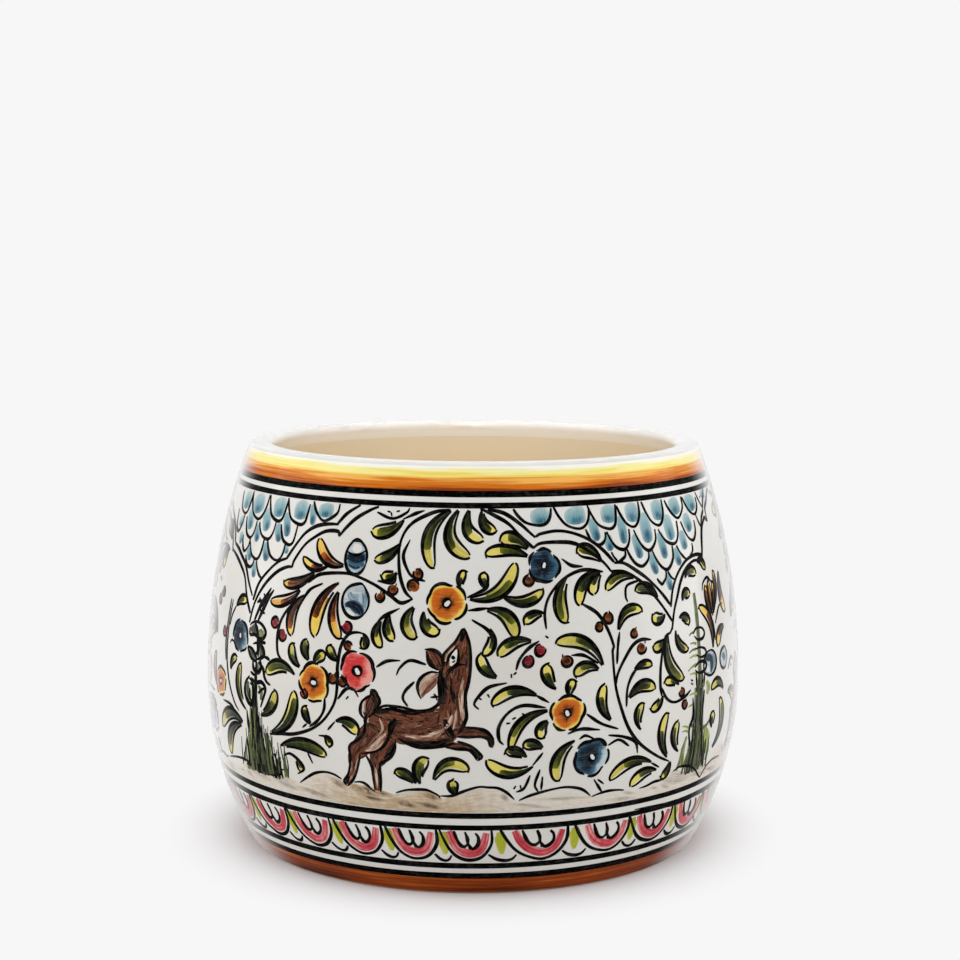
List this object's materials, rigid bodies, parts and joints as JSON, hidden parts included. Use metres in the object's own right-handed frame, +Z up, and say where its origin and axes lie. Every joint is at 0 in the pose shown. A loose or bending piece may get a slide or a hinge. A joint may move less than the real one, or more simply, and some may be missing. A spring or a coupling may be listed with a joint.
{
  "type": "cachepot",
  "caption": "Barrel-shaped glazed earthenware cachepot with a rounded lip, banded rim and foot and a painted panel, to hold a plant in its nursery pot.",
  "frame": {"origin": "middle of the foot, on the table", "axes": "+Z up along the pot's axis, -Y towards the viewer of the pictured panel"},
  "size_m": [0.1894, 0.1894, 0.14],
  "materials": {
    "biscuit_clay": "bare fired clay, matt",
    "cream_glaze": "cream lining glaze, glossy",
    "white_glaze": "white tin glaze, glossy, with painted ornament on the panel and the frieze",
    "yellow_glaze": "thin yellow wash under the glaze, glossy",
    "orange_glaze": "orange-brown band under the glaze, glossy",
    "black_glaze": "black brush line under the glaze, glossy"
  },
  "bodies": {
    "root": {"clay_body": "biscuit_clay", "inner_glaze": "cream_glaze", "lip_glaze": "white_glaze", "yellow_rim_band": "yellow_glaze", "orange_rim_band": "orange_glaze", "panel_glaze": "white_glaze", "frieze_glaze": "white_glaze", "orange_foot_band": "orange_glaze", "black_lines": "black_glaze", "white_fillets": "white_glaze"}
  },
  "joints": []
}
